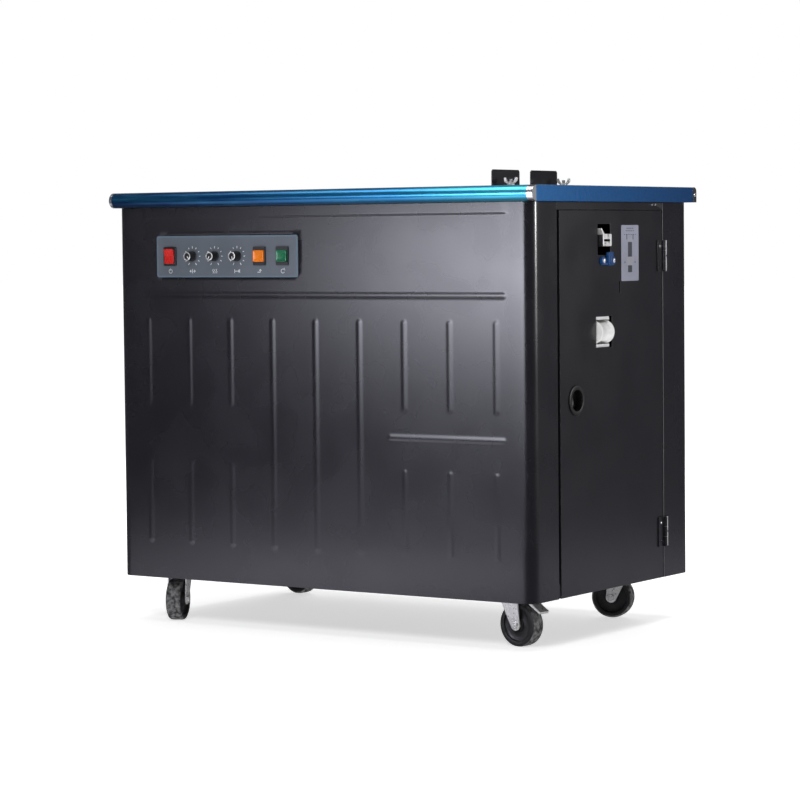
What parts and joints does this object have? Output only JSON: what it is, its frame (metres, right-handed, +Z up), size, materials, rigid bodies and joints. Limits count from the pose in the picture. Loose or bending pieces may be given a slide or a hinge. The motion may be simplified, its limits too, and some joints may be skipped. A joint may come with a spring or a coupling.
{
  "type": "semi automatic strapping machine",
  "caption": "Floor-standing strapping machine: sheet-metal cabinet on swivel casters, lift-up table with strap channel, control plate, hinged side door.",
  "frame": {"origin": "on the floor under the centre of the table", "axes": "+X to the right along the front, +Y to the back, +Z up"},
  "size_m": [0.895, 0.569, 0.806],
  "materials": {
    "black_paint": "satin",
    "dark_paint": "matt",
    "steel": "brushed",
    "stainless": "brushed",
    "zinc": "zinc plated",
    "blue_film": "glossy protective film",
    "slate": "satin printed plate",
    "black_plastic": "moulded",
    "red_plastic": "moulded",
    "orange_plastic": "moulded",
    "green_plastic": "moulded",
    "blue_plastic": "moulded",
    "nylon": "turned nylon",
    "rubber": "moulded tread",
    "grey_metal": "cast",
    "grey_sheet": "satin"
  },
  "bodies": {
    "cabinet": {"base_tray": "dark_paint", "inner_frame": "dark_paint", "front_panel": "black_paint", "rear_panel": "black_paint", "left_panel": "black_paint", "door_header": "black_paint", "table_tray": "dark_paint", "front_edge_trim": "blue_film", "rear_edge_trim": "blue_film", "left_edge_trim": "blue_film", "right_edge_trim": "blue_film", "strap_track": "stainless", "control_plate": "slate", "control_box": "grey_sheet", "rocker_switch_body": "black_plastic", "feed_switch_body": "black_plastic", "reset_switch_body": "black_plastic", "upper_hinge_frame_leaf": "black_paint", "lower_hinge_frame_leaf": "black_paint", "strap_inlet_guide": "zinc", "roller_bracket": "zinc", "reel_stand": "dark_paint", "mechanism_frame": "steel", "gear_motor": "grey_metal"},
    "door": {"side_door": "black_paint", "finger_cup": "black_plastic", "guide_clip": "blue_plastic", "upper_hinge_door_leaf": "black_paint", "lower_hinge_door_leaf": "black_paint"},
    "front_leaf": {"front_table_leaf": "stainless"},
    "rear_leaf": {"rear_table_leaf": "stainless"},
    "front_stop": {"front_parcel_stop": "black_paint"},
    "rear_stop": {"rear_parcel_stop": "black_paint"},
    "front_nut": {"front_wing_nut": "zinc"},
    "rear_nut": {"rear_wing_nut": "zinc"},
    "slider": {"slider_plate": "steel"},
    "rocker": {"power_rocker": "red_plastic"},
    "feed_push": {"feed_button": "orange_plastic"},
    "reset_push": {"reset_button": "green_plastic"},
    "tension_dial": {"tension_knob": "black_plastic"},
    "heat_dial": {"heat_knob": "black_plastic"},
    "feed_length_dial": {"feed_length_knob": "black_plastic"},
    "roller": {"inlet_roller": "nylon"},
    "reel": {"strap_reel": "black_plastic"},
    "cams": {"camshaft": "steel"},
    "left_grip": {"left_gripper": "steel"},
    "press": {"press_head": "steel"},
    "right_grip": {"right_gripper": "steel"},
    "heater": {"heater_blade": "steel"},
    "feed": {"feed_roller": "rubber"},
    "pinch": {"pinch_roller": "steel"},
    "brake": {"brake_pedal": "zinc"},
    "fork_fl": {"caster_fork_fl": "zinc"},
    "wheel_fl": {"caster_wheel_fl": "rubber"},
    "fork_fr": {"caster_fork_fr": "zinc"},
    "wheel_fr": {"caster_wheel_fr": "rubber"},
    "fork_rr": {"caster_fork_rr": "zinc"},
    "wheel_rr": {"caster_wheel_rr": "rubber"},
    "fork_rl": {"caster_fork_rl": "zinc"},
    "wheel_rl": {"caster_wheel_rl": "rubber"}
  },
  "joints": [
    {"name": "door_hinge", "type": "hinge", "parent": "cabinet", "child": "door", "pos_m": [0.4375, 0.181, 0.4], "axis": [0, 0, 1], "range_deg": [0, 110]},
    {"name": "front_leaf_hinge", "type": "hinge", "parent": "cabinet", "child": "front_leaf", "pos_m": [0, -0.2694, 0.775], "axis": [1, 0, 0], "range_deg": [0, 95]},
    {"name": "rear_leaf_hinge", "type": "hinge", "parent": "cabinet", "child": "rear_leaf", "pos_m": [0, 0.2694, 0.775], "axis": [-1, 0, 0], "range_deg": [0, 95]},
    {"name": "front_stop_slide", "type": "slide", "parent": "front_leaf", "child": "front_stop", "axis": [1, 0, 0], "range_m": [-0.01, 0.01]},
    {"name": "front_nut_turn", "type": "hinge", "parent": "front_leaf", "child": "front_nut", "pos_m": [0.286, -0.089, 0.78], "axis": [0, 0, 1], "continuous": true},
    {"name": "rear_stop_slide", "type": "slide", "parent": "rear_leaf", "child": "rear_stop", "axis": [1, 0, 0], "range_m": [-0.01, 0.01]},
    {"name": "rear_nut_turn", "type": "hinge", "parent": "rear_leaf", "child": "rear_nut", "pos_m": [0.286, 0.089, 0.78], "axis": [0, 0, 1], "continuous": true},
    {"name": "slider_travel", "type": "slide", "parent": "cabinet", "child": "slider", "axis": [0, 1, 0], "range_m": [0, 0.012]},
    {"name": "rocker_tilt", "type": "hinge", "parent": "cabinet", "child": "rocker", "pos_m": [-0.32, -0.266, 0.6605], "axis": [1, 0, 0], "range_deg": [-12, 0]},
    {"name": "feed_press", "type": "slide", "parent": "cabinet", "child": "feed_push", "axis": [0, 1, 0], "range_m": [0, 0.0035], "stiffness_N_per_m": 200},
    {"name": "reset_press", "type": "slide", "parent": "cabinet", "child": "reset_push", "axis": [0, 1, 0], "range_m": [0, 0.0035], "stiffness_N_per_m": 200},
    {"name": "tension_dial_turn", "type": "hinge", "parent": "cabinet", "child": "tension_dial", "pos_m": [-0.27025, -0.276, 0.6605], "axis": [0, -1, 0], "range_deg": [-270, 0]},
    {"name": "heat_dial_turn", "type": "hinge", "parent": "cabinet", "child": "heat_dial", "pos_m": [-0.2205, -0.276, 0.6605], "axis": [0, -1, 0], "range_deg": [-270, 0]},
    {"name": "feed_length_dial_turn", "type": "hinge", "parent": "cabinet", "child": "feed_length_dial", "pos_m": [-0.17075, -0.276, 0.6605], "axis": [0, -1, 0], "range_deg": [-270, 0]},
    {"name": "roller_spin", "type": "hinge", "parent": "cabinet", "child": "roller", "pos_m": [0.424, -0.029, 0.525], "axis": [0, 1, 0], "continuous": true},
    {"name": "reel_spin", "type": "hinge", "parent": "cabinet", "child": "reel", "pos_m": [0.256, 0, 0.33], "axis": [1, 0, 0], "continuous": true},
    {"name": "cam_turn", "type": "hinge", "parent": "cabinet", "child": "cams", "pos_m": [0.028, -0.006, 0.65], "axis": [1, 0, 0], "continuous": true},
    {"name": "left_grip_lift", "type": "slide", "parent": "cabinet", "child": "left_grip", "axis": [0, 0, 1], "range_m": [0, 0.0075]},
    {"name": "press_lift", "type": "slide", "parent": "cabinet", "child": "press", "axis": [0, 0, 1], "range_m": [0, 0.0075]},
    {"name": "right_grip_lift", "type": "slide", "parent": "cabinet", "child": "right_grip", "axis": [0, 0, 1], "range_m": [0, 0.0075]},
    {"name": "heater_travel", "type": "slide", "parent": "cabinet", "child": "heater", "axis": [0, -1, 0], "range_m": [0, 0.022]},
    {"name": "feed_spin", "type": "hinge", "parent": "cabinet", "child": "feed", "pos_m": [0.25, 0, 0.7], "axis": [0, 1, 0], "continuous": true},
    {"name": "pinch_spin", "type": "hinge", "parent": "cabinet", "child": "pinch", "pos_m": [0.25, 0, 0.7365], "axis": [0, 1, 0], "continuous": true},
    {"name": "swivel_fl", "type": "hinge", "parent": "cabinet", "child": "fork_fl", "pos_m": [-0.35715, -0.202, 0.09], "axis": [0, 0, 1], "continuous": true},
    {"name": "wheel_spin_fl", "type": "hinge", "parent": "fork_fl", "child": "wheel_fl", "pos_m": [-0.34741, -0.22611, 0.0375], "axis": [0.9272, 0.3746, 0], "continuous": true},
    {"name": "swivel_fr", "type": "hinge", "parent": "cabinet", "child": "fork_fr", "pos_m": [0.34685, -0.202, 0.09], "axis": [0, 0, 1], "continuous": true},
    {"name": "wheel_spin_fr", "type": "hinge", "parent": "fork_fr", "child": "wheel_fr", "pos_m": [0.37266, -0.20517, 0.0375], "axis": [0.1219, 0.9925, 0], "continuous": true},
    {"name": "brake_press", "type": "hinge", "parent": "fork_fr", "child": "brake", "pos_m": [0.36472, -0.20419, 0.0812], "axis": [0.1219, 0.9925, 0], "range_deg": [0, 6]},
    {"name": "swivel_rr", "type": "hinge", "parent": "cabinet", "child": "fork_rr", "pos_m": [0.34685, 0.202, 0.09], "axis": [0, 0, 1], "continuous": true},
    {"name": "wheel_spin_rr", "type": "hinge", "parent": "fork_rr", "child": "wheel_rr", "pos_m": [0.32186, 0.19483, 0.0375], "axis": [0.2756, -0.9613, 0], "continuous": true},
    {"name": "swivel_rl", "type": "hinge", "parent": "cabinet", "child": "fork_rl", "pos_m": [-0.35715, 0.202, 0.09], "axis": [0, 0, 1], "continuous": true},
    {"name": "wheel_spin_rl", "type": "hinge", "parent": "fork_rl", "child": "wheel_rl", "pos_m": [-0.38305, 0.20427, 0.0375], "axis": [-0.0872, -0.9962, 0], "continuous": true}
  ],
  "couplings": [
    {"joint": "pinch_spin", "follows": "feed_spin", "ratio": -2}
  ]
}
